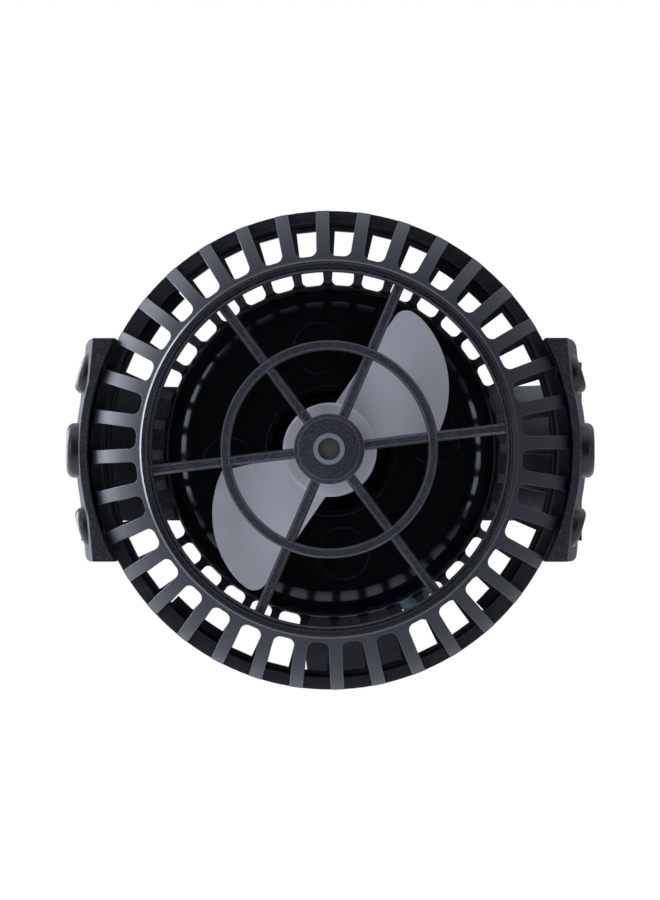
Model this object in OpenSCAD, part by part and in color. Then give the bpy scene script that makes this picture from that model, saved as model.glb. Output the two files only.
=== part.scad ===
// Wave maker pump: a propeller pump in a round slotted cage, gripped by a cradle on a magnet base.
// Everything is drawn about the flow axis, with z towards the outlet and z = 0 at the front of the rim.
// on_glass() then turns it so that the outlet faces -Y and the aquarium glass lies at y = 0.

/* [Cage] */
// Outside diameter of the cage at its rim
cage_d = 90; // [89:0.5:92]
// Number of slats round the front guard, and of ribs round the rear guard
slat_count = 36; // [36:4:40]
// Width of a front slat
slat_w = 2.45; // [2:0.05:2.6]
// Wall thickness of both guards
guard_wall = 2; // [1.8:0.1:2.2]
// Radius of the curve of the front slats, seen from the side
dome_r = 24; // [22:1:30]
// Outside radius of the ring round the outlet
outlet_ring_r = 34.95; // [34.5:0.05:35.2]
// Inside radius of the ring round the outlet
outlet_r = 32.7; // [32.4:0.05:32.9]
// Height of the outlet ring in front of the rim
outlet_z = 14.4; // [13.8:0.1:15]
// Width of a rear window
window_w = 4.15; // [3.8:0.05:4.2]
// Radius where the rear windows start
window_in_r = 32; // [32:0.05:32.3]
// Radius where the rear windows end
window_out_r = 42; // [41.5:0.1:42.2]

/* [Grille] */
// Width of a grille spoke at its back
spoke_w = 1.95; // [1.6:0.05:2.2]
// Number of grille spokes
spoke_count = 6; // [4:1:8]
// Outside radius of the grille's hub
grille_hub_r = 6.5; // [6:0.1:7]
// Middle radius of the grille's ring
grille_ring_r = 19.25; // [18:0.25:21]

/* [Propeller and motor] */
// Radius of the propeller's tips
tip_r = 30.2; // [29:0.1:30.4]
// Radius of the propeller's hub
prop_hub_r = 8.8; // [8.4:0.1:9.2]
// Radius of the ceramic shaft
shaft_r = 2; // [1.8:0.05:2.1]
// Radius of the opening for the rotor in the chamber plate
can_r = 11.6; // [11.4:0.1:12]
// Outside radius of the motor housing
motor_r = 31; // [30.8:0.1:31.4]
// Distance from the rim back to the rear of the motor housing
motor_back = 50; // [49:0.5:51]

/* [Cradle] */
// Height of the cheeks beside the cage
cheek_h = 41.9; // [40:0.5:44]
// Height of the strap that joins the arms behind the motor
strap_h = 27; // [25:0.5:28]
// Thickness of the arms and the strap
arm_t = 3; // [2.6:0.1:3.2]
// Roll of the pump in its cradle, counter-clockwise from the front
rest_roll = 6.8; // [-10:0.1:10]

/* [Magnet base] */
// Outside radius of the magnet base
base_r = 28; // [27:0.5:30]
// Thickness of the magnet base with its glass pad
base_t = 18; // [17.5:0.5:20]
// Distance from the rim back to the tilt axis
tilt_back = 66; // [65.5:0.5:67]

/* [Hidden] */
$fn = 96;
eps = 0.01;
far = 80;            // longer than any cut needs
body_gap = 0.3;      // room between pieces that move apart
fit_gap = 0.05;      // room between pieces that stay together, and running clearance on a pin
cage_r = cage_d / 2;
pitch = 360 / slat_count;

// Levels along the flow axis
rim_face = -0.8;                        // floor of the front slots
rim_joint = -3.2;                       // back of the front guard's rim
rear_wall_z = rim_joint - body_gap;     // front of the rear guard's rim
rear_edge_z = -10.5;                    // back of the rear guard's rim
dome_top = outlet_z - 0.9;              // where the slats meet the outlet ring
band_front = outlet_z - 2;              // front of the grille's outer band and spokes
band_back = outlet_z - 4.6;
plate_front = -14.5;                    // flat face behind the propeller
plate_back = plate_front - 1.6;
plate_seat = -25.4;                     // where the plate's wall meets the motor housing
collar_back = -28;
joint_plane = -(tilt_back + 10.5);      // front of the magnet base
glass_plane = joint_plane - base_t;
grip_z = -6;                            // middle of the groove that the cradle grips

// Bayonet between the two guards
tab_half_angle = 8;
tab_in_r = 39.9;
skirt_in_r = 42;
skirt_out_r = 42.9;
tab_back = -6.2;
tab_t = 1.6;

// Outline of the motor
seal_r = 28.2;
seal_d = 0.85;          // depth of the seal's groove
skirt_back = -30.4;     // back of the chamber plate's skirt
can_wall = 1;
can_back = -46.6;
core_r = 24.5;
core_front = -30;
core_back = -43;
tooth_count = 6;
tooth_w = 5;

// Rotor
spindle_r = 4.5;
spindle_back = -41.4;
flange_front = -25.9;   // front of the spindle's front flange
flange_t = 1;
bearing_r = 3.25;

// Cable block
block_w = 20;
block_out_r = 45;
cable_y = -38.3;
cable_r = 3;
bush_r = 4.7;
block_front = -36;
wire_z = -39.6;         // level of the hole that the wires take into the motor
wire_r = 1.6;
screw_x = 7.6;
screw_y = cable_y - 3.8;
screw_r = 1;
screw_l = 6.6;
screw_head_r = 1.85;
screw_head_t = 1.3;
port_r = 2.4;
plug_r = 3.6;

// Cradle
cheek_in_r = cage_r + 0.45;
cheek_front = 2.5;
cheek_back = -13.5;
arm_out_x = 48.4;
arm_bend_r = 30;
strap_z = -56;
edge_grip_angle = 17.5;
grip_seat_r = 47;       // radius of the seats that the rubber grips rest on
grip_face_r = 49.8;     // radius of the outer faces of the grips
centre_grip_r = 5.2;
edge_grip_r = 3.9;
grip_neck = 1;          // step from a grip's head to its neck
nose_r = 1.5;
pin_r = 2.5;
ear_in_x = 5.2;
ear_out_x = 9.4;
ear_r = 6.5;
stem_r = 5;

// Centre of an arc of radius r from p to q; side is 1 or -1
function arc_centre(p, q, r, side) =
    let (d = q - p, half = norm(d) / 2, h = sqrt(r * r - half * half))
    (p + q) / 2 + side * h * [d[1], -d[0]] / norm(d);

// Points along an arc about a centre
function arc(centre, r, from, to, steps) =
    [for (i = [0 : steps]) let (a = from + (to - from) * i / steps) centre + r * [cos(a), sin(a)]];

// Half the width of the gap between two slats, at radius r
function slot_half(r) = r * tan(pitch / 2) - slat_w / 2 / cos(pitch / 2);

module on_glass() {
    translate([0, glass_plane, 0]) rotate([90, 0, 0]) children();
}

module rolled() {
    on_glass() rotate([0, 0, rest_roll]) children();
}

module tube(inner_r, outer_r, low, high) {
    translate([0, 0, low]) difference() {
        cylinder(r = outer_r, h = high - low);
        translate([0, 0, -1]) cylinder(r = inner_r, h = high - low + 2);
    }
}

module disc(r, low, high) {
    translate([0, 0, low]) cylinder(r = r, h = high - low);
}

module sector(inner_r, outer_r, low, high, from, to) {
    rotate([0, 0, from])
        rotate_extrude(angle = to - from)
            translate([inner_r, low]) square([outer_r - inner_r, high - low]);
}

module around(count, start = 0) {
    for (i = [0 : count - 1]) rotate([0, 0, start + i * 360 / count]) children();
}

// Curved wall of a guard in section: the shell of a circle between two corners
module curved_wall(centre, low_corner, size) {
    intersection() {
        translate(centre) difference() {
            circle(r = dome_r);
            circle(r = dome_r - guard_wall);
        }
        translate(low_corner) square(size);
    }
}

// ---- Front guard ----

front_centre = arc_centre([cage_r, 0], [outlet_ring_r, dome_top], dome_r, -1);

module slot_outline() {
    corner_r = 1.35;
    start_r = outlet_ring_r + 0.7;
    square_r = start_r + corner_r;
    side = slot_half(square_r);
    end_r = cage_r + 2;
    polygon([[square_r, -side], [end_r, -slot_half(end_r)], [end_r, slot_half(end_r)], [square_r, side]]);
    translate([start_r, corner_r - side]) square([corner_r + eps, 2 * (side - corner_r)]);
    for (s = [-1, 1]) translate([square_r, s * (side - corner_r)]) circle(r = corner_r);
}

module outlet_ring_section() {
    chamfer = 0.35;
    bead_w = 0.9;
    groove_w = 0.25;
    groove_d = 0.3;
    bead_r = outlet_r + bead_w;
    groove_r = bead_r + groove_w;
    seat_r = outlet_r + 0.95;
    polygon([[outlet_r, band_front + fit_gap], [outlet_r, outlet_z - chamfer],
             [outlet_r + chamfer, outlet_z], [bead_r, outlet_z],
             [groove_r, outlet_z - groove_d], [groove_r + groove_w, outlet_z - groove_d],
             [groove_r + 2 * groove_w, outlet_z - groove_d / 3],
             [outlet_ring_r - chamfer, outlet_z - groove_d / 3],
             [outlet_ring_r, outlet_z - 2 * chamfer], [outlet_ring_r, band_back],
             [seat_r, band_back], [seat_r, band_front + fit_gap]]);
}

module front_guard() {
    tab_front = tab_back + tab_t;
    color("#4d505a") rolled() {
        difference() {
            rotate_extrude()
                curved_wall(front_centre, [outlet_r + 1, rim_face - eps],
                            [cage_r - outlet_r - 1, dome_top - rim_face + eps]);
            around(slat_count)
                translate([0, 0, rim_face]) linear_extrude(far) slot_outline();
        }
        rotate_extrude() outlet_ring_section();
        tube(skirt_out_r, cage_r, rim_joint, rim_face);
        around(4, 45) {
            sector(skirt_in_r, skirt_out_r + eps, tab_back, rim_face, -tab_half_angle, tab_half_angle);
            sector(tab_in_r, skirt_out_r, tab_back, tab_front, -tab_half_angle, tab_half_angle);
        }
    }
}

// ---- Outlet grille ----

module spoke(length) {
    spoke_t = 2.4;
    draft = 0.35;
    rotate([90, 0, 90]) linear_extrude(length)
        polygon([[-spoke_w / 2, -spoke_t], [spoke_w / 2, -spoke_t], [spoke_w / 2 - draft, 0],
                 [draft - spoke_w / 2, 0]]);
}

module grille_hub_section() {
    hub_back = band_front - 3.4;
    hub_front = band_front + 1.3;
    chamfer = 0.8;
    bush_seat_r = 2.95;
    polygon([[bush_seat_r, hub_back], [grille_hub_r, hub_back], [grille_hub_r, hub_front - chamfer],
             [grille_hub_r - chamfer, hub_front], [bush_seat_r, hub_front]]);
}

module grille_ring_section() {
    ring_t = 2.4;
    half_w = 0.95;
    draft = 0.3;
    lift = 0.2;
    polygon([[grille_ring_r - half_w, band_front - ring_t], [grille_ring_r + half_w, band_front - ring_t],
             [grille_ring_r + half_w - draft, band_front + lift],
             [grille_ring_r - half_w + draft, band_front + lift]]);
}

module guard_grille() {
    band_out_r = outlet_r + 0.9;
    band_in_r = outlet_r + 0.1;
    color("#3b3c42") rolled() {
        rotate_extrude() grille_hub_section();
        rotate_extrude() grille_ring_section();
        tube(band_in_r, band_out_r, band_back, band_front);
        around(spoke_count)
            translate([grille_hub_r - 0.5, 0, band_front]) spoke(band_in_r + 0.9 - grille_hub_r);
    }
}

module front_bush() {
    color("#c9c9c6") rolled()
        tube(shaft_r + fit_gap, 2.9, band_front - 3.2, band_front + 1.5);
}

// ---- Rear guard ----

plate_r = 31.1;         // outside of the chamber plate, which the rear guard's collar surrounds
rear_lip_r = plate_r + fit_gap;
rear_in_r = window_in_r - 0.1;
rear_centre = arc_centre([cage_r, rear_edge_z], [rear_in_r, -19.5], dome_r, 1);

module rear_wall_section() {
    groove_w = 3.6;
    groove_r = cage_r - 0.7;
    wall_in_r = skirt_out_r + body_gap;
    collar_in_r = 30.4;
    collar_step_z = -19.5;
    lip_z = -16.8;
    difference() {
        translate([wall_in_r, rear_edge_z]) square([cage_r - wall_in_r, rear_wall_z - rear_edge_z]);
        translate([groove_r, grip_z - groove_w / 2]) square([2, groove_w]);
    }
    curved_wall(rear_centre, [rear_lip_r, -far], [cage_r - rear_lip_r, far + rear_edge_z + eps]);
    translate([collar_in_r, collar_back]) square([rear_in_r - collar_in_r, collar_step_z - collar_back]);
    translate([rear_lip_r, collar_step_z - eps])
        square([rear_in_r - rear_lip_r, lip_z - collar_step_z + eps]);
    translate([(rear_in_r + rear_lip_r) / 2, lip_z]) circle(r = (rear_in_r - rear_lip_r) / 2);
}

module window_outline() {
    corner_r = 1.1;
    side = window_w / 2;
    translate([window_in_r + corner_r, -side]) square([window_out_r - window_in_r - corner_r, window_w]);
    translate([window_in_r, corner_r - side]) square([corner_r + eps, window_w - 2 * corner_r]);
    for (s = [-1, 1]) translate([window_in_r + corner_r, s * (side - corner_r)]) circle(r = corner_r);
}

// Lip and stop that hold one bayonet tab of the front guard
module bayonet_lip() {
    lip_back = tab_back + tab_t + body_gap;
    lip_front = lip_back + 1.3;
    lip_in_r = tab_in_r - 0.2;
    lip_out_r = skirt_in_r - body_gap;
    stop_angle = tab_half_angle + 0.6;
    stop_end = stop_angle + 2.2;
    step = 0.1;
    sector(lip_in_r, lip_out_r, lip_back, lip_front, -tab_half_angle, stop_end - 1);
    sector(lip_in_r + step, lip_out_r - step, rear_edge_z - 1.5, lip_front - step, stop_angle, stop_end);
}

module rear_guard() {
    rib_turn = -0.7;
    color("#26272b") rolled() {
        difference() {
            rotate_extrude() rear_wall_section();
            around(slat_count, rib_turn)
                translate([0, 0, -far]) linear_extrude(far + rear_wall_z) window_outline();
        }
        around(4, 45) bayonet_lip();
    }
}

// ---- Pump chamber and motor ----

// Front of the chamber plate in section: flat, with a round shoulder at its edge
module plate_face() {
    flat_r = 25.6;
    curve_r = 8.8;
    translate([0, -far]) square([flat_r, far + plate_front]);
    translate([flat_r, plate_front - curve_r]) circle(r = curve_r);
}

module plate_section() {
    step_z = -19.45;
    outside_r = 30.35;
    lip_w = 0.9;
    lip_h = 0.25;
    corner_r = 3;
    skirt_in_r = seal_r - 2.2;
    skirt_out_r = seal_r - fit_gap;
    difference() {
        union() {
            intersection() {
                translate([can_r, step_z]) square([plate_r - can_r, far]);
                plate_face();
            }
            translate([can_r, plate_seat]) square([outside_r - can_r, step_z - plate_seat + eps]);
            translate([skirt_in_r, skirt_back]) square([skirt_out_r - skirt_in_r, plate_seat - skirt_back + 1]);
        }
        translate([-1, -far]) square([skirt_in_r - corner_r + 1, far + plate_back]);
        translate([-1, -far]) square([skirt_in_r + 1, far + plate_back - corner_r]);
        translate([skirt_in_r - corner_r, plate_back - corner_r]) circle(r = corner_r);
        translate([skirt_out_r - seal_d - fit_gap, skirt_back + 1.2]) square([seal_d + 1, 1.8]);
    }
    translate([can_r, plate_back]) square([lip_w, plate_front - plate_back + lip_h]);
}

// Shallow round mark left by the mould in the face of the chamber plate
module mould_mark() {
    mark_r = 5;
    mark_w = 0.2;
    mark_d = 0.15;
    mark_at = 19.8;
    translate([mark_at, 0, 0]) tube(mark_r - mark_w, mark_r, plate_front - mark_d, plate_front + 1);
}

module chamber_plate() {
    color("#17181c") rolled() difference() {
        rotate_extrude() plate_section();
        around(4) mould_mark();
    }
}

module rotor_can() {
    outer_r = can_r + can_wall;
    color("#1d1e22") rolled() difference() {
        disc(outer_r, can_back - can_wall, plate_back - fit_gap);
        disc(can_r, can_back, 0);
        disc(1.2, -far, 0);
    }
}

module housing_seal() {
    color("#101010") rolled()
        tube(seal_r - fit_gap - seal_d, seal_r - fit_gap, skirt_back + 1.35, skirt_back + 2.85);
}

module housing_section() {
    wall = 2;
    spigot_r = 30.3;
    spigot_front = plate_seat - fit_gap;
    edge_r = 5;
    inner_edge_r = 4;
    floor_z = wall - motor_back;
    difference() {
        union() {
            translate([0, -motor_back]) square([motor_r - edge_r, motor_back + collar_back - fit_gap]);
            translate([0, edge_r - motor_back])
                square([motor_r, motor_back - edge_r + collar_back - fit_gap]);
            translate([motor_r - edge_r, edge_r - motor_back]) circle(r = edge_r);
            translate([0, collar_back - 1]) square([spigot_r, spigot_front - collar_back + 1]);
        }
        translate([-1, floor_z]) square([seal_r - inner_edge_r + 1, far]);
        translate([-1, floor_z + inner_edge_r]) square([seal_r + 1, far]);
        translate([seal_r - inner_edge_r, floor_z + inner_edge_r]) circle(r = inner_edge_r);
        translate([-far, -far]) square([far, 2 * far]);
    }
}

module motor_housing() {
    groove_count = 5;
    groove_step = 3;
    groove_w = 1;
    groove_d = 0.5;
    color("#232428") rolled() difference() {
        rotate_extrude() housing_section();
        for (i = [1 : groove_count])
            let (front = collar_back - i * groove_step)
                tube(motor_r - groove_d, motor_r + 1, front - groove_w, front);
        wire_hole();
        port_direction() translate([0, 0, seal_r - 1]) cylinder(r = port_r, h = 8);
    }
}

module tooth_outline(root_r) {
    face_r = can_r + can_wall + 0.4;
    shoe_r = face_r + 1.6;
    translate([face_r + 0.6, -tooth_w / 2]) square([root_r - face_r - 0.6, tooth_w]);
    intersection() {
        difference() {
            circle(r = shoe_r);
            circle(r = face_r);
        }
        polygon([[0, 0], [shoe_r * 1.2, -shoe_r * 0.5], [shoe_r * 1.2, shoe_r * 0.5]]);
    }
}

module stator_core() {
    yoke_t = 3.2;
    color("#8d9094") rolled()
        translate([0, 0, core_back]) linear_extrude(core_front - core_back) {
            difference() {
                circle(r = core_r);
                circle(r = core_r - yoke_t);
            }
            around(tooth_count) tooth_outline(core_r - yoke_t + 1);
        }
}

// Box round a stator tooth, with the tooth's own space left out
module tooth_sleeve(inside, wall, from_r, to_r) {
    half_w = tooth_w / 2 + inside;
    mid_z = (core_front + core_back) / 2;
    half_z = (core_front - core_back) / 2 + inside;
    difference() {
        translate([from_r, -half_w - wall, mid_z - half_z - wall])
            cube([to_r - from_r, 2 * (half_w + wall), 2 * (half_z + wall)]);
        translate([from_r - 1, -half_w, mid_z - half_z]) cube([to_r - from_r + 2, 2 * half_w, 2 * half_z]);
    }
}

module coil_bobbins() {
    color("#d8d4c4") rolled() around(tooth_count) tooth_sleeve(fit_gap, 0.5, 15.2, 20.9);
}

module stator_coils() {
    color("#b46a3a") rolled() around(tooth_count) tooth_sleeve(fit_gap + 0.55, 1.3, 15.6, 20.5);
}

module resin_fill() {
    resin_back = 6.2 - motor_back;
    color("#2b2c2e") rolled() tube(core_r + fit_gap, seal_r - fit_gap, resin_back, skirt_back - fit_gap);
}

module rotor_shaft() {
    color("#8a7f74") rolled() disc(shaft_r, can_back + 0.4, band_front + 0.6);
}

module shaft_seat() {
    color("#151515") rolled() difference() {
        disc(4.4, can_back + fit_gap, can_back + 3.9);
        disc(shaft_r + fit_gap, can_back + 0.35, 0);
    }
}

module thrust_washer() {
    color("#e4e2dc") rolled() tube(shaft_r + fit_gap, 3.8, band_front - 4.5, band_front - 3.5);
}

// ---- Propeller and rotor ----

blade_turn = 45.2;      // direction of the first blade from the pump's own x axis

// Outline of a blade along x: a straight leading edge, a round tip and a full trailing curve
function blade_points() =
    let (corner_r = 2.5, corner = [tip_r - corner_r, 3.4], curve_r = 18.9, middle = [11.5, 4.4])
    concat([[6, 4.6]], arc(corner, corner_r, 95, 0, 6), arc(middle, curve_r, -8, -77, 16), [[5, -5.2]]);

module blade() {
    camber_r = 45;
    slope = 22;
    blade_t = 1.5;
    mid_y = -4;
    mid_z = -6.5;
    intersection() {
        translate([0, 0, -25]) linear_extrude(30) polygon(blade_points());
        translate([0, mid_y + camber_r * sin(slope), mid_z - camber_r * cos(slope)])
            rotate([0, 90, 0]) difference() {
                cylinder(r = camber_r + blade_t / 2, h = 40, $fn = 180);
                translate([0, 0, -1]) cylinder(r = camber_r - blade_t / 2, h = 42, $fn = 180);
            }
    }
}

module prop_hub_section() {
    hub_back = -21;
    hub_front = 4;
    edge_r = 0.6;
    bore_r = spindle_r + 0.15;
    translate([bore_r, hub_back]) square([prop_hub_r - bore_r, hub_front - edge_r - hub_back]);
    translate([bore_r, hub_front - edge_r - eps]) square([prop_hub_r - edge_r - bore_r, edge_r + eps]);
    translate([prop_hub_r - edge_r, hub_front - edge_r]) circle(r = edge_r);
}

module propeller() {
    color("#a9abb2") rolled() rotate([0, 0, blade_turn]) {
        rotate_extrude() prop_hub_section();
        around(2) difference() {
            blade();
            disc(prop_hub_r - 0.6, -far, far);
        }
    }
}

module rotor_spindle() {
    flange_r = 10.3;
    spindle_front = 6.2;
    color("#26272b") rolled() {
        tube(bearing_r + fit_gap, spindle_r, spindle_back, spindle_front);
        tube(spindle_r - eps, flange_r, flange_front - flange_t, flange_front);
        tube(spindle_r - eps, flange_r, spindle_back, spindle_back + flange_t);
    }
}

module rotor_magnet() {
    magnet_r = 10.2;
    color("#55565a") rolled()
        tube(spindle_r + fit_gap, magnet_r, spindle_back + flange_t + fit_gap,
             flange_front - flange_t - fit_gap);
}

module rotor_bearings() {
    sleeve_l = 7.7;
    front_sleeve_back = -0.7;
    color("#efede6") rolled() {
        tube(shaft_r + fit_gap, bearing_r, spindle_back, spindle_back + sleeve_l);
        tube(shaft_r + fit_gap, bearing_r, front_sleeve_back, front_sleeve_back + sleeve_l);
    }
}

// ---- Cable block ----

module cable_block() {
    color("#141518") rolled() difference() {
        translate([-block_w / 2, -block_out_r, -motor_back])
            cube([block_w, block_out_r - 24, block_front + motor_back]);
        disc(motor_r + fit_gap, -far, 0);
        translate([0, cable_y, -far]) cylinder(r = bush_r + fit_gap, h = far - motor_back + 10);
        wire_hole();
        port_direction() translate([0, 0, motor_r]) cylinder(r = plug_r + body_gap, h = 6);
        for (s = [-1, 1]) translate([s * screw_x, screw_y, -far]) {
            cylinder(r = screw_r + fit_gap, h = far - motor_back + screw_l + 0.4);
            cylinder(r = screw_head_r + 0.1, h = far - motor_back + screw_head_t + 0.1);
        }
    }
}

module block_screws() {
    slot_w = 0.5;
    slot_d = 0.6;
    color("#b8bbc0") rolled() for (s = [-1, 1]) translate([s * screw_x, screw_y, -motor_back]) difference() {
        union() {
            cylinder(r = screw_r, h = screw_l);
            cylinder(r = screw_head_r, h = screw_head_t);
        }
        translate([-slot_w / 2, -3, -1]) cube([slot_w, 6, 1 + slot_d]);
    }
}

module gland_bush() {
    color("#1a1a1a") rolled() translate([0, cable_y, 0])
        tube(cable_r, bush_r, -motor_back - 5, -motor_back + 9.9);
}

module gland_nut() {
    flat_r = 6.6;
    color("#1c1d20") rolled() translate([0, cable_y, 0]) difference() {
        translate([0, 0, -motor_back - 6.2]) cylinder(r = flat_r, h = 6.15, $fn = 6);
        disc(bush_r + fit_gap, -motor_back - 5.05, 0);
        disc(cable_r + 0.4, -far, 0);
    }
}

module wire_hole() {
    translate([0, cable_y, wire_z]) rotate([-90, 0, 0]) cylinder(r = wire_r, h = 18);
}

module port_direction() {
    port_angle = 292.5;
    port_z = -38;
    translate([0, 0, port_z]) rotate([0, 0, port_angle]) rotate([0, 90, 0]) children();
}

module port_plug() {
    head_t = 2.6;
    cap_t = 2.4;
    seat = motor_r + 0.25;
    color("#4f9aa0") rolled() port_direction() {
        translate([0, 0, seal_r + 0.4]) cylinder(r = port_r - 0.1, h = seat - seal_r);
        translate([0, 0, seat]) cylinder(r = plug_r, h = head_t);
        translate([0, 0, seat + head_t - fit_gap]) cylinder(r = plug_r - 0.7, h = cap_t);
    }
}

// ---- Cradle ----

cheek_front_t = 1.5;
cheek_back_t = 3.45;
taper_start = -14;
taper_end = -28;
bow_front = -21;
root_back = -31;

// Section of a cheek and of the curved root of its arm
module cheek_section() {
    edge = 0.2;
    polygon([[cheek_in_r, root_back], [cheek_in_r + arm_t, root_back], [cheek_in_r + arm_t, cheek_back - 1],
             [cheek_in_r + cheek_back_t, cheek_back], [cheek_in_r + cheek_front_t, cheek_front],
             [cheek_in_r + edge, cheek_front], [cheek_in_r, cheek_front - edge]]);
}

// Thickened end of a cheek: it leaves the arc, runs on straight and ends in a round corner
module cheek_end() {
    tilt = 5.5;
    start_y = -2;
    top_y = cheek_h / 2 + 2;
    inner_x = 40;
    front_x = cheek_in_r + 0.75;
    back_x = cheek_in_r + 3.25;
    back_z = cheek_back - 0.2;
    corner_r = 1.5;
    corner = [cheek_in_r + 1.65 - corner_r, cheek_h / 2 - corner_r];
    difference() {
        rotate([0, 0, tilt]) translate([0, top_y, 0]) rotate([90, 0, 0]) linear_extrude(top_y - start_y)
            polygon([[inner_x, back_z], [back_x, back_z], [front_x, cheek_front], [inner_x, cheek_front]]);
        disc(cheek_in_r + 0.5, -far, far);
        translate([0, 0, cheek_back - 1]) linear_extrude(far) difference() {
            translate(corner) square(10);
            translate(corner) circle(r = corner_r);
        }
    }
}

module grip_axis(angle) {
    rotate([0, 0, angle]) translate([0, 0, grip_z]) rotate([0, 90, 0]) children();
}

module cheek() {
    half_angle = asin(cheek_h / 2 / cheek_in_r) + 1;
    rotate([0, 0, -half_angle]) rotate_extrude(angle = 2 * half_angle) cheek_section();
    for (s = [0, 1]) mirror([0, s, 0]) cheek_end();
}

// Stepped hole for a rubber grip
module grip_hole(head_r) {
    cylinder(r = head_r - grip_neck + fit_gap, h = far);
    translate([0, 0, grip_seat_r - fit_gap]) cylinder(r = head_r + fit_gap, h = far);
}

module bow_outline(inset) {
    half_w = arm_out_x - inset;
    r = arm_bend_r - inset;
    back = strap_z - arm_t + inset;
    translate([-half_w, back + r]) square([2 * half_w, bow_front - back - r + 1]);
    translate([r - half_w, back]) square([2 * (half_w - r), r + eps]);
    for (s = [-1, 1]) translate([s * (half_w - r), back + r]) circle(r = r);
}

// Arms and strap behind the motor, as tall as the cheeks
module bow() {
    translate([0, cheek_h / 2, 0]) rotate([90, 0, 0]) linear_extrude(cheek_h) difference() {
        bow_outline(0);
        bow_outline(arm_t);
        translate([-far, bow_front]) square([2 * far, far]);
    }
}

// Half the height of the cradle at a level, falling in a smooth curve from cheek to strap
function half_height(t) = strap_h / 2 + (cheek_h - strap_h) / 4 * (1 + cos(180 * t));

// Space that the cradle fills, seen from the side
module side_outline() {
    steps = 8;
    curve = [for (i = [0 : steps]) [taper_start + (taper_end - taper_start) * i / steps,
                                    half_height(i / steps)]];
    back_curve = [for (i = [steps : -1 : 0]) [curve[i][0], -curve[i][1]]];
    polygon(concat([[cheek_front + 1, cheek_h / 2]], curve, [[-far, strap_h / 2], [-far, -strap_h / 2]],
                   back_curve, [[cheek_front + 1, -cheek_h / 2]]));
}

module ear_pair() {
    for (s = [-1, 1]) translate([s * (ear_in_x + ear_out_x) / 2, 0, -tilt_back]) difference() {
        union() {
            rotate([0, 90, 0]) cylinder(r = ear_r, h = ear_out_x - ear_in_x, center = true);
            translate([-(ear_out_x - ear_in_x) / 2, -ear_r, 0])
                cube([ear_out_x - ear_in_x, 2 * ear_r, tilt_back + strap_z - 1]);
        }
        rotate([0, 90, 0]) cylinder(r = pin_r + fit_gap, h = 20, center = true);
    }
}

module cradle() {
    nut_pocket_r = 4.7;
    nut_pocket_d = 1.6;
    color("#3a3b41") on_glass() difference() {
        union() {
            intersection() {
                union() {
                    for (s = [0, 180]) rotate([0, 0, s]) cheek();
                    bow();
                }
                rotate([0, -90, 0]) translate([0, 0, -far]) linear_extrude(2 * far) side_outline();
            }
            ear_pair();
        }
        for (side = [0, 180]) rotate([0, 0, side]) {
            grip_axis(0) grip_hole(centre_grip_r);
            for (s = [-1, 1]) grip_axis(s * edge_grip_angle) grip_hole(edge_grip_r);
        }
        rotate([0, 90, 0]) translate([tilt_back, 0, 0]) rotate([0, 0, 30])
            translate([0, 0, -ear_out_x - 1]) cylinder(r = nut_pocket_r, h = nut_pocket_d + 1, $fn = 6);
    }
}

// Rubber plug with a rounded head outside the cheek and a small nose in the cage's groove
module grip(head_r) {
    round_r = 1.3;
    neck_in_r = cage_r + 0.5;
    rotate_extrude() {
        translate([0, cage_r - 0.4]) square([nose_r, 1]);
        translate([0, neck_in_r]) square([head_r - grip_neck, grip_seat_r - neck_in_r + eps]);
        translate([0, grip_seat_r]) square([head_r, grip_face_r - round_r - grip_seat_r]);
        translate([0, grip_seat_r]) square([head_r - round_r, grip_face_r - grip_seat_r]);
        translate([head_r - round_r, grip_face_r - round_r]) circle(r = round_r);
    }
}

module centre_grip() {
    grip_axis(0) grip(centre_grip_r);
}

module edge_grips() {
    for (s = [-1, 1]) grip_axis(s * edge_grip_angle) grip(edge_grip_r);
}

module left_centre_grip() {
    color("#202125") on_glass() rotate([0, 0, 180]) centre_grip();
}

module right_centre_grip() {
    color("#202125") on_glass() centre_grip();
}

module left_edge_grips() {
    color("#1b1c20") on_glass() rotate([0, 0, 180]) edge_grips();
}

module right_edge_grips() {
    color("#1b1c20") on_glass() edge_grips();
}

module tilt_pin() {
    head_r = 4.4;
    color("#b8bbc0") on_glass() translate([0, 0, -tilt_back]) rotate([0, 90, 0]) {
        translate([0, 0, -ear_out_x - 0.4]) cylinder(r = pin_r, h = 2 * ear_out_x + 0.4 + fit_gap + eps);
        translate([0, 0, ear_out_x + fit_gap]) cylinder(r = head_r, h = 1.8);
    }
}

module tilt_nut() {
    nut_r = 4.6;
    color("#a4a8ad") on_glass() translate([0, 0, -tilt_back]) rotate([0, 90, 0]) rotate([0, 0, 30])
        difference() {
            translate([0, 0, -ear_out_x - 0.9]) cylinder(r = nut_r, h = 2.45, $fn = 6);
            translate([0, 0, -ear_out_x - 2]) cylinder(r = pin_r + fit_gap, h = 6);
        }
}

// ---- Swivel ----

module swivel_hub() {
    flange_r = 12;
    flange_t = 2.6;
    tongue_w = 2 * (ear_in_x - body_gap);
    flange_back = joint_plane + body_gap;
    color("#303137") on_glass() difference() {
        union() {
            translate([0, 0, -tilt_back]) rotate([0, 90, 0])
                cylinder(r = ear_r - 0.3, h = tongue_w, center = true);
            translate([-tongue_w / 2, 0.3 - ear_r, flange_back])
                cube([tongue_w, 2 * (ear_r - 0.3), -tilt_back - flange_back]);
            disc(flange_r, flange_back, flange_back + flange_t);
            disc(stem_r, joint_plane - 5.6, flange_back + 1);
        }
        translate([0, 0, -tilt_back]) rotate([0, 90, 0]) cylinder(r = pin_r + fit_gap, h = 40, center = true);
        tube(stem_r - 0.8, stem_r + 1, joint_plane - 5, joint_plane - 4.1);
    }
}

module swivel_washer() {
    color("#5b5d61") on_glass()
        tube(stem_r + fit_gap, 8, joint_plane - 4, joint_plane - 3.5);
}

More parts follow.
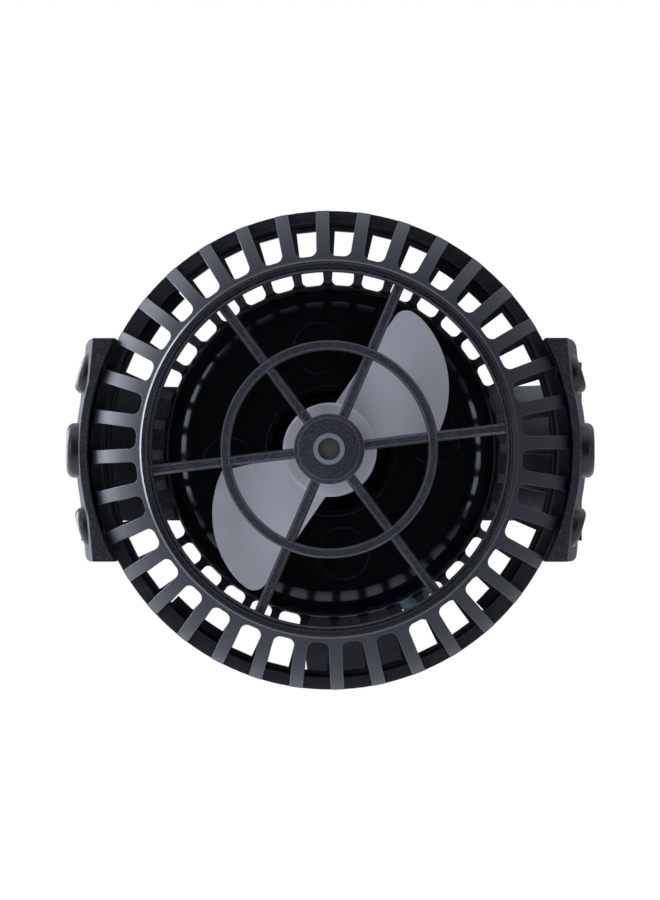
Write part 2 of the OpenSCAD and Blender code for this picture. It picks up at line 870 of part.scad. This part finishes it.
module swivel_clip() {
    color("#9da1a6") on_glass() difference() {
        tube(stem_r - 0.75, 7, joint_plane - 4.95, joint_plane - 4.15);
        translate([-1.2, 0, joint_plane - 8]) cube([2.4, 20, 10]);
    }
}

// ---- Magnet base ----

module base_section() {
    bore_gap = 0.06;
    front_t = 2.6;
    side_t = 2;
    edge_r = 3;
    base_back = glass_plane + 2.2;
    difference() {
        union() {
            translate([0, base_back]) square([base_r, joint_plane - edge_r - base_back]);
            translate([0, base_back]) square([base_r - edge_r, joint_plane - base_back]);
            translate([base_r - edge_r, joint_plane - edge_r]) circle(r = edge_r);
        }
        translate([-1, base_back - 1]) square([base_r - side_t + 1, joint_plane - front_t - base_back + 1]);
        translate([-far, -far * 2]) square([far + stem_r + bore_gap, far * 2]);
    }
}

module base_housing() {
    rib_count = 24;
    color("#2b2c31") on_glass() difference() {
        union() {
            rotate_extrude() base_section();
            tube(stem_r + 0.06, 9.5, joint_plane - 3.2, joint_plane - 2.5);
        }
        around(rib_count) translate([base_r + 0.75, 0, glass_plane]) cylinder(r = 1.35, h = 12, $fn = 24);
    }
}

module steel_keeper() {
    color("#7d8085") on_glass() disc(24.5, joint_plane - 8.2, joint_plane - 6.2);
}

module base_magnet() {
    color("#4a4b4f") on_glass() disc(23, glass_plane + 3.8, joint_plane - 8.25);
}

module base_cover() {
    color("#232428") on_glass() {
        disc(base_r - 2.05, glass_plane + 2.2, glass_plane + 3.75);
        disc(base_r - 0.3, glass_plane + 1.2, glass_plane + 2.2);
    }
}

module glass_pad() {
    color("#3f4146") on_glass() disc(base_r - 1, glass_plane, glass_plane + 1.2 - eps);
}

front_guard();
guard_grille();
front_bush();
rear_guard();
chamber_plate();
rotor_can();
housing_seal();
motor_housing();
stator_core();
coil_bobbins();
stator_coils();
resin_fill();
rotor_shaft();
shaft_seat();
thrust_washer();
propeller();
rotor_spindle();
rotor_magnet();
rotor_bearings();
cable_block();
block_screws();
gland_bush();
gland_nut();
port_plug();
cradle();
left_centre_grip();
right_centre_grip();
left_edge_grips();
right_edge_grips();
tilt_pin();
tilt_nut();
swivel_hub();
swivel_washer();
swivel_clip();
base_housing();
steel_keeper();
base_magnet();
base_cover();
glass_pad();
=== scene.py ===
"""Looks of the wave maker pump: its materials, light and camera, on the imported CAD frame."""

import math

import bmesh
import bpy
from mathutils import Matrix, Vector


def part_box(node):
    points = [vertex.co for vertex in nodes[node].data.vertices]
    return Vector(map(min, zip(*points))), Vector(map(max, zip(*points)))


MM = 0.001

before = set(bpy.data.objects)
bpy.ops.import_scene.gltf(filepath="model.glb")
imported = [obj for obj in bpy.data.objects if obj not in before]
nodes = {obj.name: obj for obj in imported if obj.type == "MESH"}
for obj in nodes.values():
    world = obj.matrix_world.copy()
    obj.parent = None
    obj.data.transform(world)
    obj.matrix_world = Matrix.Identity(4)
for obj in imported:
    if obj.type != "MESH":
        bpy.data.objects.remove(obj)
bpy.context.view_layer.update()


# ---- Shader nodes ----


def node(tree, kind, inputs=None, **settings):
    """A new node with its settings made and its inputs set or linked."""
    made = tree.nodes.new(kind)
    for key, value in settings.items():
        setattr(made, key, value)
    for key, value in (inputs or {}).items():
        if isinstance(value, bpy.types.NodeSocket):
            tree.links.new(value, made.inputs[key])
        else:
            made.inputs[key].default_value = value
    return made


def grey(level, tint=(1.0, 1.0, 1.0)):
    """An opaque colour from a linear brightness and a tint."""
    return (level * tint[0], level * tint[1], level * tint[2], 1.0)


COOL = (0.93, 0.97, 1.15)
NEUTRAL = (1.0, 1.0, 1.0)
BLUE_BLACK = grey(1.0, (0.84, 0.9, 1.0))

# How alike the rounded and the flat normal are where an edge begins, and where it is full
EDGE_BEGINS = 0.995
EDGE_FULL = 0.85


class Surface:
    """A procedural material while it is built: its tree, its coordinates and its shader."""

    def __init__(self, name, **shader):
        self.material = bpy.data.materials.new(name)
        self.material.use_nodes = True
        self.tree = self.material.node_tree
        self.tree.nodes.clear()
        self.shader = node(self.tree, "ShaderNodeBsdfPrincipled", shader)
        output = node(self.tree, "ShaderNodeOutputMaterial")
        self.tree.links.new(self.shader.outputs["BSDF"], output.inputs["Surface"])
        self.place = node(self.tree, "ShaderNodeTexCoord").outputs["Object"]
        self.height = None

    def add(self, kind, inputs=None, **settings):
        return node(self.tree, kind, inputs, **settings)

    def maths(self, operation, a, b=0.0):
        return self.add("ShaderNodeMath", {0: a, 1: b}, operation=operation).outputs[0]

    def noise(self, size_mm, detail=2.0, roughness=0.5, stretch=None):
        """Soft noise with spots of about the given size, stretched along an axis if wanted."""
        place = self.place
        if stretch:
            place = self.add("ShaderNodeMapping", {"Vector": place, "Scale": stretch}).outputs[0]
        values = {"Vector": place, "Scale": 1 / (size_mm * MM), "Detail": detail, "Roughness": roughness}
        return self.add("ShaderNodeTexNoise", values).outputs[0]

    def spread(self, value, low, high, to_low=0.0, to_high=1.0):
        """The value moved from one range to another and held there."""
        values = {0: value, 1: low, 2: high, 3: to_low, 4: to_high}
        return self.add("ShaderNodeMapRange", values).outputs[0]

    def uneven(self, noise, rough, by):
        """The roughness, lower and higher by a share of itself where the noise is low and high."""
        return self.spread(noise, 0.3, 0.7, rough * (1 - by), rough * (1 + by))

    def mix(self, share, a, b):
        return self.add("ShaderNodeMix", {0: share, 6: a, 7: b}, data_type="RGBA").outputs[2]

    def shades(self, share, level, tint, dark, light):
        """A tinted grey that goes from darker to lighter than its level."""
        return self.mix(share, grey(level * dark, tint), grey(level * light, tint))

    def marked(self, colour, marks, amount, mark_colour):
        """The colour, with the given amount of another one where the marks are."""
        return self.mix(self.maths("MULTIPLY", marks, amount), colour, mark_colour)

    def edges(self, radius_mm):
        """How near a point is to a sharp outer or inner edge, from 0 to 1, and the rounded normal there."""
        rounded = self.add("ShaderNodeBevel", {"Radius": radius_mm * MM}, samples=6).outputs[0]
        flat = self.add("ShaderNodeNewGeometry").outputs["Normal"]
        likeness = self.add("ShaderNodeVectorMath", {0: rounded, 1: flat}, operation="DOT_PRODUCT")
        return self.spread(likeness.outputs["Value"], EDGE_BEGINS, EDGE_FULL), rounded

    def from_axis(self):
        """The distance from the pump's axis, which is the Y axis of the frame."""
        across = self.add("ShaderNodeVectorMath", {0: self.place, 1: (1.0, 0.0, 1.0)}, operation="MULTIPLY")
        return self.add("ShaderNodeVectorMath", {0: across.outputs[0]}, operation="LENGTH").outputs["Value"]

    def raise_by(self, value, height_mm):
        """Adds a relief of the given height to the surface."""
        step = self.maths("MULTIPLY", value, height_mm * MM)
        self.height = step if self.height is None else self.maths("ADD", self.height, step)

    def finish(self, colour, roughness, normal=None):
        """Links the colour, roughness and relief to the shader."""
        self.tree.links.new(colour, self.shader.inputs["Base Color"])
        self.tree.links.new(roughness, self.shader.inputs["Roughness"])
        values = {"Height": self.height, "Strength": 1.0, "Distance": 1.0}
        if normal is not None:
            values["Normal"] = normal
        relief = self.add("ShaderNodeBump", values).outputs[0]
        self.tree.links.new(relief, self.shader.inputs["Normal"])
        return self.material


# ---- Materials ----


def moulded(name, level, rough, grain_mm=0.22, grain_h=0.012, speckle=0.5, rub=0.06, polished_r=None):
    """Moulded black plastic: a spark-eroded grain with pale specks, soft clouding, and edges smoothed and
    painted paler, partly for wear and partly as a painted highlight.

    Nearer to the pump's axis than polished_r, it is polished and its painted edge highlight and wear are
    fainter.
    """
    s = Surface(name, IOR=1.5, **{"Specular Tint": BLUE_BLACK})
    edge, rounded = s.edges(radius_mm=0.2)
    grain = s.noise(grain_mm, detail=3.0, roughness=0.6)
    clouds = s.noise(size_mm=9.0, detail=3.0)
    specks = s.spread(s.noise(grain_mm * 1.2, detail=1.0), low=0.5, high=0.68)
    base = s.shades(s.spread(clouds, low=0.35, high=0.7), level, COOL, dark=0.8, light=1.2)
    dotted = s.marked(base, specks, speckle, grey(level * 7.0, COOL))
    # Edges painted paler: partly wear, partly a painted highlight on their rounding.
    wear_and_sheen_mask = s.maths("MULTIPLY", edge, 0.8)
    smoothed = s.spread(edge, 0.0, 1.0, to_low=1.0, to_high=0.6)
    roughness = s.maths("MULTIPLY", s.uneven(clouds, rough, by=0.08), smoothed)
    if polished_r:
        fade = 0.2 * MM
        dullness = s.spread(s.from_axis(), polished_r - fade, polished_r + fade, to_low=0.3)
        wear_and_sheen_mask = s.maths("MULTIPLY", wear_and_sheen_mask, dullness)
        roughness = s.maths("MULTIPLY", roughness, dullness)
    s.raise_by(grain, grain_h)
    s.raise_by(clouds, height_mm=0.03)
    return s.finish(s.mix(wear_and_sheen_mask, dotted, grey(rub, COOL)), roughness, rounded)


def satin(name, level, rough, tint):
    """Light satin plastic with faint flow lines, fine scratches and crisp edges painted paler as a painted
    highlight.
    """
    glow = {"Subsurface Weight": 0.12, "Subsurface Radius": (0.8, 0.8, 0.9), "Subsurface Scale": 0.8 * MM}
    s = Surface(name, IOR=1.46, **glow)
    edge, rounded = s.edges(radius_mm=0.15)
    flow = s.noise(size_mm=11.0, stretch=(1.0, 1.0, 0.4))
    scratch_noise = s.noise(size_mm=0.25, detail=3.0, roughness=0.6, stretch=(1.0, 1.0, 0.08))
    scratches = s.spread(scratch_noise, low=0.58, high=0.75)
    base = s.shades(flow, level, tint, dark=0.96, light=1.04)
    lined = s.marked(base, scratches, 0.12, grey(level * 0.8, tint))
    # Painted highlight: the edges are painted paler, for the shine on their rounding.
    colour = s.marked(lined, edge, 0.5, grey(min(1.0, level * 1.25), tint))
    s.raise_by(flow, height_mm=0.02)
    s.raise_by(scratches, height_mm=-0.0008)
    return s.finish(colour, s.uneven(flow, rough, by=0.1), rounded)


def glossy(name, level, rough):
    """Polished black plastic with faint flow lines, a few fine smears and a painted highlight along its
    edges.
    """
    s = Surface(name, IOR=1.5, **{"Specular Tint": BLUE_BLACK})
    edge, rounded = s.edges(radius_mm=0.12)
    flow = s.noise(size_mm=14.0, stretch=(1.0, 0.35, 1.0))
    smear_noise = s.noise(size_mm=5.0, detail=4.0, roughness=0.65, stretch=(1.0, 0.4, 1.6))
    smears = s.spread(smear_noise, low=0.48, high=0.75)
    base = s.shades(flow, level, COOL, dark=0.8, light=1.3)
    # Painted highlight: the edges are painted many times paler than the plastic, for the shine on their
    # rounding.
    colour = s.marked(base, edge, 0.4, grey(level * 6.0, COOL))
    s.raise_by(flow, height_mm=0.03)
    s.raise_by(s.noise(size_mm=0.5), height_mm=0.001)
    return s.finish(colour, s.spread(smears, 0.0, 1.0, to_low=rough, to_high=rough * 1.7), rounded)


def rubber(name, level, rough=0.62, tint=NEUTRAL):
    """Matt rubber or silicone with a fine bloom and edges painted paler, partly rubbing wear and partly a
    painted highlight.
    """
    s = Surface(name, IOR=1.45, **{"Sheen Weight": 0.08, "Sheen Roughness": 0.6})
    edge, rounded = s.edges(radius_mm=0.3)
    bloom = s.spread(s.noise(size_mm=2.5, detail=4.0, roughness=0.6), low=0.45, high=0.75)
    base = s.marked(grey(level, tint), bloom, 0.6, grey(level * 1.8, tint))
    # Edges painted paler: partly rubbing wear, partly a painted highlight on their rounding.
    colour = s.marked(base, edge, 0.35, grey(level * 2.4, tint))
    s.raise_by(s.noise(size_mm=0.14), height_mm=0.01)
    return s.finish(colour, s.spread(bloom, 0.0, 1.0, to_low=rough * 0.9, to_high=rough * 1.1), rounded)


def ceramic(name, level, rough, tint):
    """Ground ceramic: even, hard and finely pitted."""
    s = Surface(name, IOR=1.65)
    rounded = s.edges(radius_mm=0.1)[1]
    pits = s.spread(s.noise(size_mm=0.12, roughness=0.6), low=0.55, high=0.7)
    clouds = s.noise(size_mm=1.5, detail=3.0)
    base = s.shades(clouds, level, tint, dark=0.88, light=1.08)
    colour = s.marked(base, pits, 0.3, grey(level * 0.45, tint))
    s.raise_by(pits, height_mm=-0.004)
    return s.finish(colour, s.uneven(clouds, rough, by=0.15), rounded)


def metal(name, level, rough, tint=NEUTRAL, lines_mm=None):
    """Brushed or turned metal, with a painted highlight along its edges and lamination or winding lines if
    wanted.
    """
    s = Surface(name, Metallic=1.0)
    edge, rounded = s.edges(radius_mm=0.1)
    streaks = s.noise(size_mm=0.6, detail=4.0, roughness=0.7, stretch=(1.0, 12.0, 1.0))
    base = s.shades(streaks, level, tint, dark=0.8, light=1.1)
    # Painted highlight: the edges are painted paler, for the shine on their rounding.
    colour = s.marked(base, edge, 0.4, grey(min(1.0, level * 1.5), tint))
    s.raise_by(streaks, height_mm=0.003)
    if lines_mm:
        depth = s.add("ShaderNodeSeparateXYZ", {0: s.place}).outputs["Y"]
        turns = s.maths("MULTIPLY", depth, 2 * math.pi / (lines_mm * MM))
        s.raise_by(s.maths("SINE", turns), height_mm=lines_mm * 0.12)
    return s.finish(colour, s.uneven(streaks, rough, by=0.2), rounded)


def cast_resin(name, rough_low, rough_high):
    """Dark potting resin with small bubbles under its skin."""
    s = Surface(name, IOR=1.55, **{"Coat Weight": 0.4, "Coat Roughness": 0.15})
    bubbles_a_metre = 900.0
    bubbles = s.add("ShaderNodeTexVoronoi", {"Vector": s.place, "Scale": bubbles_a_metre})
    ring = s.spread(bubbles.outputs["Distance"], low=0.05, high=0.2)
    colour = s.mix(ring, grey(0.08), grey(0.02))
    s.raise_by(ring, height_mm=0.02)
    return s.finish(colour, s.spread(s.noise(size_mm=6.0), 0.3, 0.7, rough_low, rough_high))


# The outlet ring is polished, up to this far outside the grille's band
RING_WALL = 1.2 * MM
grille_low, grille_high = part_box("guard_grille")
polish_r = (grille_high.x - grille_low.x) / 2 + RING_WALL

FINISHES = {
    # slot in the record: how it is made, and what it is given
    # The paler colour painted on the moulded edges, given below for some parts, is partly wear and partly a
    # painted highlight on their rounding.
    "slat_plastic": (moulded, dict(level=0.009, rough=0.55, grain_h=0.015, speckle=0.3, rub=0.14,
                                   polished_r=polish_r)),
    "grille_plastic": (moulded, dict(level=0.012, rough=0.44, grain_mm=0.2, grain_h=0.04, speckle=0.75,
                                     rub=0.3)),
    "rear_guard_plastic": (moulded, dict(level=0.004, rough=0.36, grain_h=0.01, speckle=0.2, rub=0.08)),
    "plate_plastic": (glossy, dict(level=0.004, rough=0.09)),
    "housing_plastic": (moulded, dict(level=0.01, rough=0.45, grain_h=0.02, speckle=0.3)),
    "cradle_plastic": (moulded, dict(level=0.01, rough=0.48, grain_mm=0.34, grain_h=0.06, rub=0.12)),
    "base_plastic": (moulded, dict(level=0.012, rough=0.48, grain_mm=0.3, grain_h=0.035)),
    "propeller_plastic": (satin, dict(level=0.66, rough=0.4, tint=(0.98, 0.985, 1.06))),
    "grip_rubber": (rubber, dict(level=0.007, rough=0.34, tint=COOL)),
    "seal_rubber": (rubber, dict(level=0.012)),
    "teal_silicone": (rubber, dict(level=0.06, rough=0.45, tint=(0.42, 1.1, 1.2))),
    "pad_silicone": (rubber, dict(level=0.05, rough=0.6)),
    "bush_ceramic": (ceramic, dict(level=0.19, rough=0.35, tint=(0.9, 1.0, 1.12))),
    "shaft_ceramic": (ceramic, dict(level=0.038, rough=0.5, tint=(1.05, 1.0, 0.88))),
    "magnet": (metal, dict(level=0.3, rough=0.4)),
    "core_steel": (metal, dict(level=0.5, rough=0.35, lines_mm=0.5)),
    "coil_copper": (metal, dict(level=0.7, rough=0.3, tint=(1.0, 0.5, 0.28), lines_mm=0.35)),
    "bobbin_plastic": (satin, dict(level=0.55, rough=0.5, tint=(1.05, 1.0, 0.9))),
    "resin": (cast_resin, dict(rough_low=0.25, rough_high=0.45)),
    "stainless": (metal, dict(level=0.6, rough=0.28)),
}
materials = {slot: make(slot, **values) for slot, (make, values) in FINISHES.items()}


def dress(obj, slot):
    """Gives a piece one material and the record's slot of the same name."""
    obj.data.materials.clear()
    obj.data.materials.append(materials[slot])


for obj in nodes.values():
    dress(obj, obj.data.materials[0].name.split(".")[0])


# ---- Stage, light and camera ----

# The guard's front stands this far in front of its rim. The lights and the camera look at the rim's middle.
GUARD_DEPTH = 14.4 * MM
guard_low, guard_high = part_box("front_guard")
middle = (guard_low + guard_high) / 2
rim_point = Vector((middle.x, guard_low.y + GUARD_DEPTH, middle.z))


def aim(obj, target):
    """Turns a light or camera to look at a point, with its own Y axis as near upright as it goes."""
    obj.rotation_euler = (target - obj.location).to_track_quat("-Z", "Y").to_euler()


DAYLIGHT = (0.95, 0.98, 1.1)
SOFTBOXES = (
    # name, place, width and height, watts
    ("left_side", (-0.85, 0.3, 0.2), (0.6, 0.9), 16.0),
    ("left_front", (-0.75, -0.82, 0.15), (0.45, 0.7), 2.7),
    ("right_front", (0.65, -0.9, 0.0), (0.2, 0.5), 0.8),
)


def softbox(name, place, size, watts):
    """A soft rectangular light that looks at the pump."""
    lamp = bpy.data.lights.new(name, "AREA")
    lamp.shape = "RECTANGLE"
    lamp.size, lamp.size_y = size
    lamp.energy = watts
    lamp.color = DAYLIGHT
    obj = bpy.data.objects.new(name, lamp)
    obj.location = place
    bpy.context.scene.collection.objects.link(obj)
    aim(obj, rim_point)


for values in SOFTBOXES:
    softbox(*values)

# The studio is even all round, with a dark card round the camera and brighter panels in given directions
STUDIO_LEVEL = 0.38
CARD_LEVEL = 0.02
CARD_EDGE = math.radians(46)
CARD_CORE = math.radians(26)
PANELS = (
    # direction, cosine where it starts, cosine where it is full, strength
    ((0.25, 0.1, 1.0), 0.5, 0.95, 0.9),
    ((-0.8, -0.1, 0.6), 0.5, 0.95, 0.3),
)


def studio_world():
    """White to the camera, and soft lights from given directions to everything else."""
    world = bpy.data.worlds.new("studio")
    bpy.context.scene.world = world
    world.use_nodes = True
    sky = world.node_tree
    sky.nodes.clear()
    direction = node(sky, "ShaderNodeTexCoord").outputs["Generated"]

    def glow(towards, start, full, outside, inside):
        """A strength that changes smoothly from outside to inside a cone round a direction."""
        facing = {0: direction, 1: Vector(towards).normalized()}
        cosine = node(sky, "ShaderNodeVectorMath", facing, operation="DOT_PRODUCT").outputs["Value"]
        ramp = {0: cosine, 1: start, 2: full, 3: outside, 4: inside}
        return node(sky, "ShaderNodeMapRange", ramp, interpolation_type="SMOOTHSTEP").outputs[0]

    total = glow((0, -1, 0), math.cos(CARD_EDGE), math.cos(CARD_CORE), STUDIO_LEVEL, CARD_LEVEL)
    for towards, start, full, strength in PANELS:
        panel = glow(towards, start, full, 0.0, strength)
        total = node(sky, "ShaderNodeMath", {0: panel, 1: total}, operation="ADD").outputs[0]
    lit = node(sky, "ShaderNodeBackground", {"Color": grey(1.0, DAYLIGHT), "Strength": total})
    seen = node(sky, "ShaderNodeBackground", {"Color": grey(1.0), "Strength": 1.0})
    to_camera = node(sky, "ShaderNodeLightPath").outputs["Is Camera Ray"]
    both = node(sky, "ShaderNodeMixShader", {0: to_camera, 1: lit.outputs[0], 2: seen.outputs[0]})
    node(sky, "ShaderNodeOutputWorld", {0: both.outputs[0]})


studio_world()

FLOOR_RADIUS = 1.1
FLOOR_LEVEL = -0.25


def pale_floor():
    """A round pale floor that fades out towards its edge."""
    mesh = bpy.data.meshes.new("floor")
    bm = bmesh.new()
    bmesh.ops.create_circle(bm, cap_ends=True, segments=96, radius=FLOOR_RADIUS)
    bm.to_mesh(mesh)
    bm.free()
    floor = bpy.data.objects.new("floor", mesh)
    floor.location = (0, 0, FLOOR_LEVEL)
    bpy.context.scene.collection.objects.link(floor)
    material = bpy.data.materials.new("floor")
    material.use_nodes = True
    tree = material.node_tree
    tree.nodes.clear()
    place = node(tree, "ShaderNodeTexCoord").outputs["Object"]
    distance = node(tree, "ShaderNodeVectorMath", {0: place}, operation="LENGTH").outputs["Value"]
    ramp = {0: distance, 1: FLOOR_RADIUS * 0.4, 2: FLOOR_RADIUS * 0.95}
    fade = node(tree, "ShaderNodeMapRange", ramp).outputs[0]
    matt = node(tree, "ShaderNodeBsdfDiffuse", {"Color": grey(0.85)})
    clear = node(tree, "ShaderNodeBsdfTransparent")
    both = node(tree, "ShaderNodeMixShader", {0: fade, 1: matt.outputs[0], 2: clear.outputs[0]})
    node(tree, "ShaderNodeOutputMaterial", {0: both.outputs[0]})
    mesh.materials.append(material)


pale_floor()

# The camera is a little below the axis and to its right, and takes in VIEW_HEIGHT at the rim
CAMERA_DISTANCE = 0.7
CAMERA_BELOW = math.radians(0.8)
CAMERA_RIGHT = math.radians(0.7)
VIEW_HEIGHT = 0.16896
SENSOR_MM = 36


def add_camera():
    """A long lens that looks into the outlet, at the middle of the rim."""
    data = bpy.data.cameras.new("camera")
    data.sensor_width = SENSOR_MM
    data.lens = SENSOR_MM * CAMERA_DISTANCE / VIEW_HEIGHT
    data.clip_start = 0.05
    camera = bpy.data.objects.new("camera", data)
    camera_direction = Vector((math.sin(CAMERA_RIGHT), -1, -math.sin(CAMERA_BELOW)))
    camera.location = rim_point + CAMERA_DISTANCE * camera_direction
    bpy.context.scene.collection.objects.link(camera)
    aim(camera, rim_point)
    bpy.context.scene.camera = camera


add_camera()
bpy.context.scene.view_settings.view_transform = "Standard"
